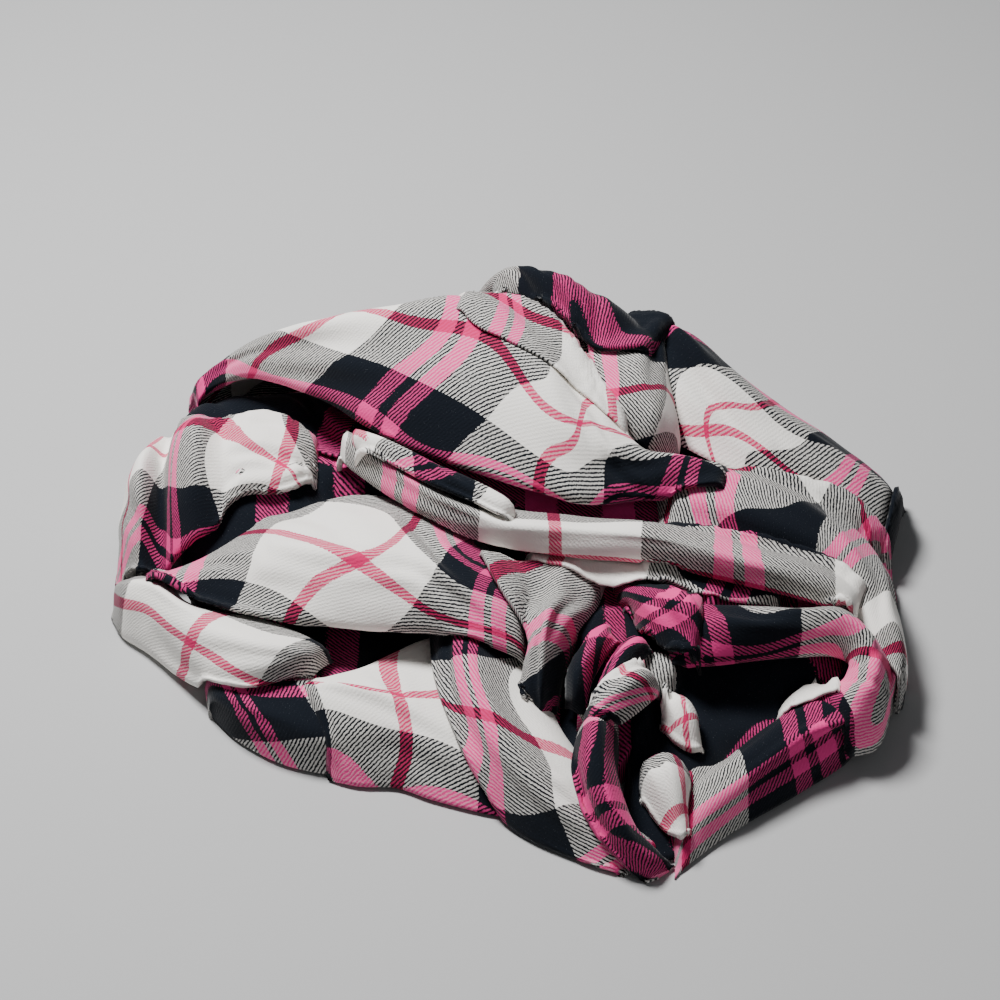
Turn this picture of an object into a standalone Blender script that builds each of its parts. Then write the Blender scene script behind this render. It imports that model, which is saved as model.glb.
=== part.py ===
"""Crumpled flannel shirt, heaped on a flat surface.

Every garment piece that shows is one wall of cloth, lofted through a short table of sections.
A section runs from the far foot of a fold, over its crest, to its near lip. Each piece is laid on
the ones built before it, and the hidden layers under them all are one rounded solid.
Tables are in millimetres, seen from the front: x to the right, y away, z up.
"""

import math
from collections import namedtuple

import bmesh
import bpy
from mathutils import Vector
from mathutils.bvhtree import BVHTree

MM = 0.001
CLOTH = 2.0            # wall of brushed flannel, with its nap
CLEARANCE = 1.6        # air between one layer and the next
CELL_ALONG = 17.0      # sides of one facet, along a fold and across it
CELL_ACROSS = 11.5
SETTLE_PASSES = 12     # rounds of moving a piece clear of what it touches
TOUCH_SHARES = (0.25, 0.5, 0.75)
REACH = 0.6            # share of a facet looked round for the layer below
STEEPEST = 0.4         # least rise of a wall's normal that is allowed for
SHIFT = (-3.0, -7.0)   # moves the tables' own zero to the middle of the heap

FULLNESS_FAR = 0.12    # how far a fold swells above the straight line to its crest
FULLNESS_NEAR = 0.24

CORE_RINGS = 12
CORE_SPOKES = 52
CORE_CENTRE = (0.0, 5.0)
CORE_REACH = 235.0     # the outline of the hidden layers is looked for from here inwards
CORE_STEP = 4.0
CORE_WINDOW = 13.0     # half the square looked over for the lowest piece above a place
CORE_BULGE = 9.0       # most that the outline steps out from one spoke to the next
CORE_TOP = 62.0        # height of the hidden layers where no piece covers them
CORE_EDGE = 8.0        # height of their rounded edge
CORE_LOWEST = 2.0      # and of the thinnest place, under a hollow
CORE_CLEARANCE = 2.0

Section = namedtuple("Section", "far crest near")
Piece = namedtuple("Piece", "name colour sections")
Wall = namedtuple("Wall", "tree corners")

CREAM = (0.80, 0.78, 0.74)
GREY = (0.35, 0.36, 0.37)
BLACK = (0.015, 0.017, 0.022)
PINK = (0.70, 0.10, 0.28)
ROSE = (0.78, 0.36, 0.48)

# Laid from the bottom of the heap to the top.
PIECES = [
    Piece("right_front_hem", ROSE, [
        Section(far=(82, -146, 8), crest=(84, -164, 14), near=(82, -181, 2)),
        Section(far=(98, -104, 8), crest=(96, -142, 20), near=(100, -164, 2)),
        Section(far=(120, -68, 8), crest=(118, -126, 26), near=(129, -145, 2)),
        Section(far=(142, -36, 10), crest=(144, -102, 31), near=(159, -125, 2)),
        Section(far=(166, -28, 14), crest=(170, -90, 33), near=(186, -103, 2)),
        Section(far=(184, -22, 20), crest=(192, -72, 33), near=(208, -74, 2)),
        Section(far=(198, -6, 24), crest=(204, -46, 32), near=(218, -38, 2)),
    ]),
    Piece("left_front_hem", CREAM, [
        Section(far=(-134, -34, 20), crest=(-128, -64, 26), near=(-132, -86, 2)),
        Section(far=(-102, -30, 24), crest=(-96, -74, 35), near=(-93, -110, 2)),
        Section(far=(-64, -26, 28), crest=(-58, -86, 31), near=(-55, -123, 2)),
        Section(far=(-28, -30, 30), crest=(-24, -98, 28), near=(-16, -140, 2)),
        Section(far=(2, -50, 30), crest=(4, -112, 24), near=(12, -146, 2)),
    ]),
    Piece("back_tail", GREY, [
        Section(far=(-60, 196, 2), crest=(-58, 150, 90), near=(-56, 100, 90)),
        Section(far=(-18, 200, 2), crest=(-16, 156, 98), near=(-14, 96, 98)),
        Section(far=(28, 198, 2), crest=(26, 154, 94), near=(22, 92, 94)),
        Section(far=(70, 192, 2), crest=(62, 146, 82), near=(54, 86, 84)),
        Section(far=(104, 180, 2), crest=(92, 132, 66), near=(80, 78, 68)),
    ]),
    Piece("left_front_edge", GREY, [
        Section(far=(10, -26, 34), crest=(-22, -26, 44), near=(-42, -26, 34)),
        Section(far=(20, -62, 30), crest=(-22, -60, 50), near=(-40, -62, 34)),
        Section(far=(30, -96, 24), crest=(-14, -94, 48), near=(-33, -94, 26)),
        Section(far=(42, -120, 22), crest=(2, -122, 42), near=(-18, -126, 14)),
        Section(far=(54, -138, 18), crest=(22, -144, 31), near=(4, -151, 2)),
        Section(far=(66, -152, 14), crest=(44, -160, 20), near=(34, -170, 2)),
        Section(far=(78, -164, 6), crest=(66, -173, 10), near=(60, -180, 2)),
    ]),
    Piece("left_sleeve_under", CREAM, [
        Section(far=(-202, 16, 10), crest=(-214, 2, 16), near=(-219, -8, 8)),
        Section(far=(-188, 12, 20), crest=(-198, -10, 36), near=(-204, -28, 6)),
        Section(far=(-160, 0, 24), crest=(-164, -30, 45), near=(-174, -54, 3)),
        Section(far=(-128, -16, 28), crest=(-132, -50, 48), near=(-148, -80, 2)),
        Section(far=(-98, -40, 30), crest=(-106, -68, 47), near=(-118, -98, 2)),
        Section(far=(-76, -62, 30), crest=(-88, -84, 40), near=(-98, -108, 2)),
    ]),
    Piece("left_shoulder", GREY, [
        Section(far=(-208, 84, 2), crest=(-216, 56, 16), near=(-210, 20, 8)),
        Section(far=(-202, 118, 2), crest=(-202, 74, 50), near=(-196, 4, 22)),
        Section(far=(-180, 148, 2), crest=(-176, 98, 67), near=(-166, 2, 34)),
        Section(far=(-150, 162, 2), crest=(-149, 97, 75), near=(-136, 8, 44)),
        Section(far=(-120, 156, 22), crest=(-127, 92, 75), near=(-112, 26, 48)),
        Section(far=(-98, 132, 40), crest=(-112, 82, 67), near=(-98, 40, 50)),
        Section(far=(-84, 110, 44), crest=(-98, 72, 56), near=(-90, 48, 46)),
    ]),
    Piece("left_sleeve_upper", CREAM, [
        Section(far=(-196, 18, 16), crest=(-196, 0, 26), near=(-193, -12, 20)),
        Section(far=(-170, 30, 32), crest=(-172, 2, 44), near=(-168, -22, 32)),
        Section(far=(-138, 44, 42), crest=(-138, 6, 60), near=(-134, -38, 40)),
        Section(far=(-104, 50, 48), crest=(-104, -2, 71), near=(-102, -48, 50)),
        Section(far=(-68, 42, 52), crest=(-70, -14, 75), near=(-66, -56, 52)),
        Section(far=(-32, 22, 54), crest=(-36, -26, 75), near=(-32, -64, 53)),
        Section(far=(-4, -8, 52), crest=(-10, -42, 68), near=(-6, -70, 49)),
        Section(far=(20, -32, 44), crest=(14, -58, 56), near=(10, -78, 42)),
    ]),
    Piece("left_front_middle", BLACK, [
        Section(far=(56, -8, 44), crest=(26, -6, 54), near=(-4, -4, 46)),
        Section(far=(54, -34, 50), crest=(26, -32, 66), near=(0, -28, 54)),
        Section(far=(50, -56, 48), crest=(26, -56, 69), near=(4, -54, 54)),
        Section(far=(46, -78, 42), crest=(27, -78, 65), near=(9, -78, 48)),
        Section(far=(42, -98, 32), crest=(27, -99, 50), near=(13, -99, 34)),
    ]),
    Piece("left_sleeve_end", PINK, [
        Section(far=(86, -44, 38), crest=(66, -42, 46), near=(46, -44, 38)),
        Section(far=(82, -66, 44), crest=(62, -64, 62), near=(41, -64, 48)),
        Section(far=(80, -90, 38), crest=(56, -90, 61), near=(35, -90, 40)),
        Section(far=(76, -114, 32), crest=(49, -116, 56), near=(28, -114, 32)),
        Section(far=(68, -138, 26), crest=(44, -139, 48), near=(24, -136, 25)),
        Section(far=(70, -154, 18), crest=(50, -157, 35), near=(33, -157, 14)),
        Section(far=(80, -166, 10), crest=(67, -170, 22), near=(55, -174, 6)),
        Section(far=(88, -172, 6), crest=(81, -178, 11), near=(74, -183, 3)),
    ]),
    Piece("right_sleeve", CREAM, [
        Section(far=(66, 184, 2), crest=(72, 142, 78), near=(72, 84, 64)),
        Section(far=(100, 176, 2), crest=(98, 136, 86), near=(96, 72, 64)),
        Section(far=(138, 162, 2), crest=(132, 116, 76), near=(128, 56, 58)),
        Section(far=(174, 140, 2), crest=(162, 98, 63), near=(156, 42, 50)),
        Section(far=(200, 116, 2), crest=(190, 80, 49), near=(182, 34, 38)),
        Section(far=(213, 100, 2), crest=(208, 72, 40), near=(198, 30, 24)),
    ]),
    Piece("right_cuff", BLACK, [
        Section(far=(208, 104, 2), crest=(203, 70, 50), near=(193, 24, 34)),
        Section(far=(225, 90, 2), crest=(219, 60, 36), near=(208, 20, 12)),
    ]),
    Piece("yoke", GREY, [
        Section(far=(92, 126, 84), crest=(62, 118, 106), near=(30, 124, 100)),
        Section(far=(100, 92, 82), crest=(70, 90, 103), near=(36, 92, 100)),
        Section(far=(108, 62, 76), crest=(79, 62, 94), near=(46, 60, 90)),
        Section(far=(118, 40, 66), crest=(88, 40, 82), near=(56, 38, 78)),
        Section(far=(122, 22, 56), crest=(92, 20, 69), near=(60, 16, 66)),
    ]),
    Piece("right_front_side", GREY, [
        Section(far=(56, 50, 70), crest=(58, 30, 76), near=(58, 6, 62)),
        Section(far=(98, 68, 66), crest=(100, 36, 82), near=(98, 2, 62)),
        Section(far=(144, 58, 56), crest=(138, 24, 77), near=(136, -10, 56)),
        Section(far=(196, 48, 24), crest=(175, 6, 65), near=(168, -20, 50)),
        Section(far=(223, 30, 2), crest=(201, -18, 52), near=(186, -38, 42)),
        Section(far=(222, -22, 2), crest=(209, -40, 40), near=(196, -56, 36)),
        Section(far=(220, -54, 2), crest=(211, -62, 28), near=(203, -74, 24)),
    ]),
    Piece("right_front_roll", PINK, [
        Section(far=(46, -36, 50), crest=(76, -76, 52), near=(84, -88, 44)),
        Section(far=(82, -32, 56), crest=(102, -70, 64), near=(106, -86, 48)),
        Section(far=(118, -32, 56), crest=(133, -66, 68), near=(135, -82, 50)),
        Section(far=(154, -36, 52), crest=(163, -60, 66), near=(159, -77, 48)),
        Section(far=(184, -48, 42), crest=(181, -66, 58), near=(169, -80, 44)),
        Section(far=(200, -76, 30), crest=(188, -84, 50), near=(171, -86, 38)),
        Section(far=(190, -104, 24), crest=(176, -99, 43), near=(163, -90, 32)),
        Section(far=(160, -114, 26), crest=(152, -102, 36), near=(147, -92, 28)),
    ]),
    Piece("right_front_fold", CREAM, [
        Section(far=(-98, 98, 62), crest=(-96, 84, 70), near=(-94, 70, 62)),
        Section(far=(-70, 76, 68), crest=(-70, 56, 80), near=(-70, 38, 66)),
        Section(far=(-38, 48, 68), crest=(-40, 24, 83), near=(-42, 2, 65)),
        Section(far=(-4, 26, 66), crest=(-8, -3, 84), near=(-10, -26, 63)),
        Section(far=(32, 16, 64), crest=(29, -14, 84), near=(28, -38, 61)),
        Section(far=(74, 10, 62), crest=(74, -17, 82), near=(76, -45, 57)),
        Section(far=(122, 4, 56), crest=(124, -20, 76), near=(124, -47, 53)),
        Section(far=(165, -6, 52), crest=(166, -28, 67), near=(162, -51, 49)),
        Section(far=(195, -24, 44), crest=(190, -39, 56), near=(182, -55, 44)),
    ]),
    Piece("placket", GREY, [
        Section(far=(-84, 74, 80), crest=(-88, 66, 84), near=(-92, 58, 80)),
        Section(far=(-52, 43, 84), crest=(-58, 34, 88), near=(-62, 26, 84)),
        Section(far=(-24, 24, 84), crest=(-30, 15, 88), near=(-34, 7, 84)),
        Section(far=(2, 8, 84), crest=(-3, -1, 89), near=(-6, -9, 84)),
        Section(far=(16, -2, 82), crest=(12, -9, 86), near=(8, -16, 82)),
    ]),
    Piece("back", CREAM, [
        Section(far=(-184, 150, 34), crest=(-174, 126, 58), near=(-178, 118, 54)),
        Section(far=(-152, 186, 2), crest=(-140, 121, 92), near=(-144, 104, 78)),
        Section(far=(-104, 196, 2), crest=(-99, 120, 110), near=(-100, 75, 86)),
        Section(far=(-62, 197, 4), crest=(-60, 122, 122), near=(-58, 42, 88)),
        Section(far=(-20, 164, 100), crest=(-22, 118, 129), near=(-14, 16, 86)),
        Section(far=(22, 128, 116), crest=(16, 86, 122), near=(28, 3, 81)),
        Section(far=(48, 92, 108), crest=(44, 58, 106), near=(56, 1, 75)),
        Section(far=(78, 50, 98), crest=(75, 32, 93), near=(79, 6, 73)),
    ]),
    Piece("collar", BLACK, [
        Section(far=(-30, 164, 100), crest=(-16, 148, 126), near=(-8, 128, 128)),
        Section(far=(-4, 170, 98), crest=(6, 148, 134), near=(12, 122, 126)),
        Section(far=(34, 170, 92), crest=(34, 144, 133), near=(34, 110, 116)),
        Section(far=(66, 158, 82), crest=(60, 130, 122), near=(50, 96, 106)),
        Section(far=(88, 136, 74), crest=(78, 112, 109), near=(66, 82, 98)),
        Section(far=(100, 110, 72), crest=(90, 90, 97), near=(78, 64, 92)),
    ]),
]


def between(a, b, t):
    return tuple(p + (q - p) * t for p, q in zip(a, b))


def lifted(point, by):
    return (point[0], point[1], point[2] + by)


def smooth_curve(points, t):
    """Catmull-Rom through the points; t runs from 0 to 1 over the whole length."""
    spans = len(points) - 1
    at = min(max(t, 0.0), 1.0) * spans
    i = min(int(at), spans - 1)
    f = at - i
    b, c = points[i], points[i + 1]
    a = points[i - 1] if i > 0 else between(c, b, 2.0)
    d = points[i + 2] if i + 2 <= spans else between(b, c, 2.0)
    return tuple(
        0.5 * (2 * q + (r - p) * f + (2 * p - 5 * q + 4 * r - s) * f * f
               + (3 * q - p - 3 * r + s) * f ** 3)
        for p, q, r, s in zip(a, b, c, d)
    )


def profile(section):
    """The five points of one section: foot, far shoulder, crest, near shoulder, lip."""
    far, crest, near = section
    far_rise = abs(crest[2] - far[2])
    near_rise = abs(crest[2] - near[2])
    return [
        far,
        lifted(between(far, crest, 0.5), FULLNESS_FAR * far_rise),
        crest,
        lifted(between(crest, near, 0.55), FULLNESS_NEAR * near_rise),
        near,
    ]


def length_of(points):
    return sum(math.dist(a, b) for a, b in zip(points, points[1:]))


def surface(sections):
    """A function of (along, across), each from 0 to 1, and the cells it needs each way."""
    tracks = list(zip(*[profile(s) for s in sections]))
    along = length_of([s.crest for s in sections])
    across = max(length_of([s.far, s.crest, s.near]) for s in sections)

    def point(u, v):
        return smooth_curve([smooth_curve(track, u) for track in tracks], v)

    return point, max(4, round(along / CELL_ALONG)), max(4, round(across / CELL_ACROSS))


def round_about(reach_x, reach_y, steps=(-1.0, 0.0, 1.0)):
    """Offsets to the places tried round a point."""
    return [(reach_x * i, reach_y * j) for i in steps for j in steps]


def highest(laid, x, y, reach):
    """The highest surface laid so far at or close round a place, or 0 on the bare surface."""
    top = 0.0
    for dx, dy in round_about(reach, reach):
        for sheet in laid:
            hit = sheet.ray_cast(Vector((x + dx, y + dy, CORE_REACH)), Vector((0, 0, -1)))[0]
            if hit is not None:
                top = max(top, hit.z)
    return top


def touch_points(bm):
    """The corners of a sheet's facets, their middles and points along their edges."""
    points = [vertex.co.copy() for vertex in bm.verts]
    points += [face.calc_center_median() for face in bm.faces]
    for edge in bm.edges:
        a, b = edge.verts
        points += [a.co.lerp(b.co, share) for share in TOUCH_SHARES]
    return points


def settle(bm, corners):
    """Lifts a sheet's facets wherever a corner of the sheets below would touch them."""
    for _ in range(SETTLE_PASSES):
        bm.faces.index_update()
        bm.faces.ensure_lookup_table()
        bm.normal_update()
        sheet = BVHTree.FromBMesh(bm)
        for corner in corners:
            hit, normal, index, _ = sheet.ray_cast(Vector((corner.x, corner.y, 0.0)), Vector((0, 0, 1)))
            if hit is None:
                continue
            room = CLEARANCE + CLOTH / max(abs(normal.z), STEEPEST)
            short = corner.z + room - hit.z
            if short > 0.0:
                for vertex in bm.faces[index].verts:
                    vertex.co.z += short


def laid_piece(piece, laid, corners):
    """One piece of cloth, lofted, laid on what is under it and given its thickness.

    Gives its upper side, to lay the next pieces on, and its whole wall.
    """
    point, along, across = surface(piece.sections)
    bm = bmesh.new()
    bmesh.ops.create_grid(bm, x_segments=along, y_segments=across, size=0.5)
    for vertex in bm.verts:
        x, y, z = point(vertex.co.x + 0.5, vertex.co.y + 0.5)
        top = highest(laid, x, y, CELL_ACROSS * REACH)
        floor = top + CLOTH + CLEARANCE if top > 0.0 else CLOTH
        vertex.co = (x, y, max(z, floor))
    settle(bm, corners)
    bm.normal_update()
    if sum(face.normal.z for face in bm.faces) < 0:
        bmesh.ops.reverse_faces(bm, faces=bm.faces)
    upper = BVHTree.FromBMesh(bm)
    corners.extend(touch_points(bm))
    bmesh.ops.solidify(bm, geom=list(bm.faces), thickness=CLOTH)
    for vertex in bm.verts:
        vertex.co.z = max(vertex.co.z, 0.0)
    wall = Wall(BVHTree.FromBMesh(bm), touch_points(bm))
    finished(piece.name, bm, piece.colour)
    return upper, wall


def material(name, colour):
    made = bpy.data.materials.new(name)
    made.use_nodes = True
    shader = made.node_tree.nodes["Principled BSDF"]
    shader.inputs["Base Color"].default_value = (*colour, 1.0)
    shader.inputs["Roughness"].default_value = 0.9
    shader.inputs["Metallic"].default_value = 0.0
    return made


def finished(name, bm, colour):
    """Turns a mesh in table millimetres into a node in metres."""
    bmesh.ops.recalc_face_normals(bm, faces=bm.faces)
    for vertex in bm.verts:
        x, y, z = vertex.co
        vertex.co = ((x + SHIFT[0]) * MM, (y + SHIFT[1]) * MM, z * MM)
    mesh = bpy.data.meshes.new(name)
    bm.to_mesh(mesh)
    bm.free()
    mesh.shade_smooth()
    mesh.materials.append(material(name, colour))
    node = bpy.data.objects.new(name, mesh)
    bpy.context.scene.collection.objects.link(node)


def ceiling(walls, x, y, reach):
    """The lowest underside above a place and close round it, or the free height there."""
    top = CORE_TOP
    for dx, dy in round_about(reach, reach, (-1.0, -0.5, 0.0, 0.5, 1.0)):
        for wall in walls:
            hit = wall.tree.ray_cast(Vector((x + dx, y + dy, -1.0)), Vector((0, 0, 1)))[0]
            if hit is not None:
                top = min(top, hit.z - CORE_CLEARANCE)
    return top


def covered(walls, x, y):
    return any(wall.tree.ray_cast(Vector((x, y, -1.0)), Vector((0, 0, 1)))[0] for wall in walls)


def core_outline(walls, angle, reach):
    """How far out the hidden layers go before the pieces over them come too low."""
    radius = CORE_REACH
    while radius > CORE_STEP:
        x = CORE_CENTRE[0] + radius * math.cos(angle)
        y = CORE_CENTRE[1] + radius * math.sin(angle)
        if covered(walls, x, y) and ceiling(walls, x, y, reach) > CORE_EDGE:
            return radius
        radius -= CORE_STEP
    return radius


def sink(bm, corners):
    """Lowers the hidden layers' facets wherever a corner of a piece would touch them."""
    for _ in range(SETTLE_PASSES):
        bm.faces.index_update()
        bm.faces.ensure_lookup_table()
        solid = BVHTree.FromBMesh(bm)
        for corner in corners:
            hit, _, index, _ = solid.ray_cast(Vector((corner.x, corner.y, CORE_REACH)), Vector((0, 0, -1)))
            if hit is None:
                continue
            excess = hit.z + CLEARANCE - corner.z
            if excess > 0.0:
                for vertex in bm.faces[index].verts:
                    vertex.co.z = max(CORE_LOWEST, vertex.co.z - excess)


def hidden_layers(walls):
    """The rounded solid of all the layers that don't show, shaped to fit under the pieces."""
    reach = CORE_WINDOW
    turn = 2 * math.pi / CORE_SPOKES
    radii = [core_outline(walls, turn * k, reach) for k in range(CORE_SPOKES)]
    for _ in range(CORE_SPOKES):
        radii = [min(r, radii[k - 1] + CORE_BULGE, radii[(k + 1) % CORE_SPOKES] + CORE_BULGE)
                 for k, r in enumerate(radii)]

    def place(vertex, share, height):
        angle = math.atan2(vertex.co.y - CORE_CENTRE[1], vertex.co.x - CORE_CENTRE[0])
        radius = radii[round(angle / turn) % CORE_SPOKES] * share
        vertex.co = (CORE_CENTRE[0] + radius * math.cos(angle),
                     CORE_CENTRE[1] + radius * math.sin(angle), height)

    bm = bmesh.new()
    bmesh.ops.create_circle(bm, cap_ends=True, segments=CORE_SPOKES, radius=CORE_REACH)
    bmesh.ops.translate(bm, verts=bm.verts, vec=(*CORE_CENTRE, 0.0))
    for vertex in bm.verts:
        place(vertex, 1.0, 0.0)
    lid = bmesh.ops.extrude_face_region(bm, geom=list(bm.faces), use_keep_orig=True)
    top = next(g for g in lid["geom"] if isinstance(g, bmesh.types.BMFace))
    for vertex in top.verts:
        vertex.co.z = CORE_EDGE
    for ring in range(1, CORE_RINGS):
        bmesh.ops.inset_region(bm, faces=[top], thickness=0.0)
        for vertex in top.verts:
            place(vertex, 1.0 - ring / CORE_RINGS, CORE_EDGE)
    bmesh.ops.poke(bm, faces=[top])
    for vertex in bm.verts:
        if vertex.co.z > 0.0:
            x, y = vertex.co.x, vertex.co.y
            vertex.co.z = max(CORE_LOWEST, ceiling(walls, x, y, reach))
    sink(bm, [corner for wall in walls for corner in wall.corners])
    finished("inner_layers", bm, BLACK)


def build():
    for old in list(bpy.data.objects):
        bpy.data.objects.remove(old)
    laid = []
    walls = []
    corners = []
    for piece in PIECES:
        upper, wall = laid_piece(piece, laid, corners)
        laid.append(upper)
        walls.append(wall)
    hidden_layers(walls)


build()
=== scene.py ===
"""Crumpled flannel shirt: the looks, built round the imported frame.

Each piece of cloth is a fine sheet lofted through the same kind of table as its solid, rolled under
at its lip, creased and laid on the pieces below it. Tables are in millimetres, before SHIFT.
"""

import math
from collections import namedtuple

import bmesh
import bpy
import numpy as np
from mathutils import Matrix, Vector, noise


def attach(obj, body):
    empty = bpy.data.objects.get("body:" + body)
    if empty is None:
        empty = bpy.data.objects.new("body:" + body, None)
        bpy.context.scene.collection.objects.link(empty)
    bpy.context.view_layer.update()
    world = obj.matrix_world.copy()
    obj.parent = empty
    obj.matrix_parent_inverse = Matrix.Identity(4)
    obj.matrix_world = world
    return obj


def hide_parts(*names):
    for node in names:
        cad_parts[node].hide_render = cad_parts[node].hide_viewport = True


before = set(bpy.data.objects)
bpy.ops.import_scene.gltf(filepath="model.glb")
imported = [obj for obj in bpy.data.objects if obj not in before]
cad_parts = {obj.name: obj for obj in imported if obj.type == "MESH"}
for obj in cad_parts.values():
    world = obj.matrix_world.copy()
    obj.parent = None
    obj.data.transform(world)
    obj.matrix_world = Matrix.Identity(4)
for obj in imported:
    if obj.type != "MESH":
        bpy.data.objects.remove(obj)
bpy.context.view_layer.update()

MM = 0.001
SHIFT = np.array([-3.0, -7.0, 0.0])   # the tables' own zero to the middle of the heap
CLOTH = 1.7                           # thickness of one layer of brushed flannel
GAP = 0.5                             # air between one layer and the next
CELL = 2.6                            # side of one facet
REPEAT = 165.0                        # one repeat of the check, the same both ways
HEAP_REACH = 250.0                    # the map of the heap's height covers this far each way
MAP_STEP = 2.0                        # side of one cell of that map
EASE = 0.22                           # how far a pin eases the check around it, in repeats
TUCK = 9.0                            # radius of the round where a sheet goes into the heap,
TUCK_SHARE = 0.16                     # or this share of the sheet, if that is less
TUCK_MORE = 0.5                       # and how much further its edge dips, as a share of that
SINK = 2.5                            # the hidden layers' surface drops this far once it is mapped
SOFTEN = 2.5                          # how gently a sheet lifts where it meets what is below

# How a section bulges between its three points, as shares of their drop or distance.
FULLNESS_FAR = 0.12
FULLNESS_NEAR = 0.24
NEAR_SHOULDER = 0.55
UNDER_BACK = 0.25
UNDER_DROP = 0.8
AT_CREST, AT_LIP = 2.0, 4.0           # the crest and the lip along a section, in spans

# How loosely the check holds to its pins, and how firmly to the cloth's own size.
PIN_GIVE = 0.02
SIZE_PULL = 0.02

# A crease starts and runs over these shares of a half wave, raised to a power, and has a low
# swell on each side: its height as a share of the depth, its distance in widths, its sharpness.
CREASE_START, CREASE_RUN, CREASE_FADE = 0.06, 0.88, 0.6
SWELL, SWELL_AT, SWELL_SHARPNESS = 0.35, 1.9, 1.5

# The cloth's unevenness, coarse and fine: height, length along the folds, length across them.
RUMPLE = ((1.5, 62, 34), (0.7, 24, 15))
RUMPLE_APART = 5                      # how far apart in the noise the two are read

# The hidden layers lie in the check's black, held there so the hollows read dark, which is partly
# painted shade: where, how far they stray, over what lengths in m.
SHADE_BLACK_AT = (0.41, 0.37)
SHADE_BLACK_SWAY = (0.09, 0.10)
SHADE_BLACK_WAVE = (0.024, 0.030, 0.07)
HIDDEN_CUTS = 3                       # cuts in each edge of their solid's mesh

# Section: a cut across the piece, through its far edge, its crest and its near edge, in mm.
Section = namedtuple("Section", "far crest near")
# Roll: how far the lip drops and turns back under, in mm.
Roll = namedtuple("Roll", "drop back")
# Pin: a place on the piece seen from above, in mm, and where the check falls there, in repeats.
Pin = namedtuple("Pin", "x y p q")
# Crease: from and to, as shares along and across; depth in mm, below zero for a ridge; width; bow.
Crease = namedtuple("Crease", "start end depth width bow")
Piece = namedtuple("Piece", "name node slot roll sections creases")

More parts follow.
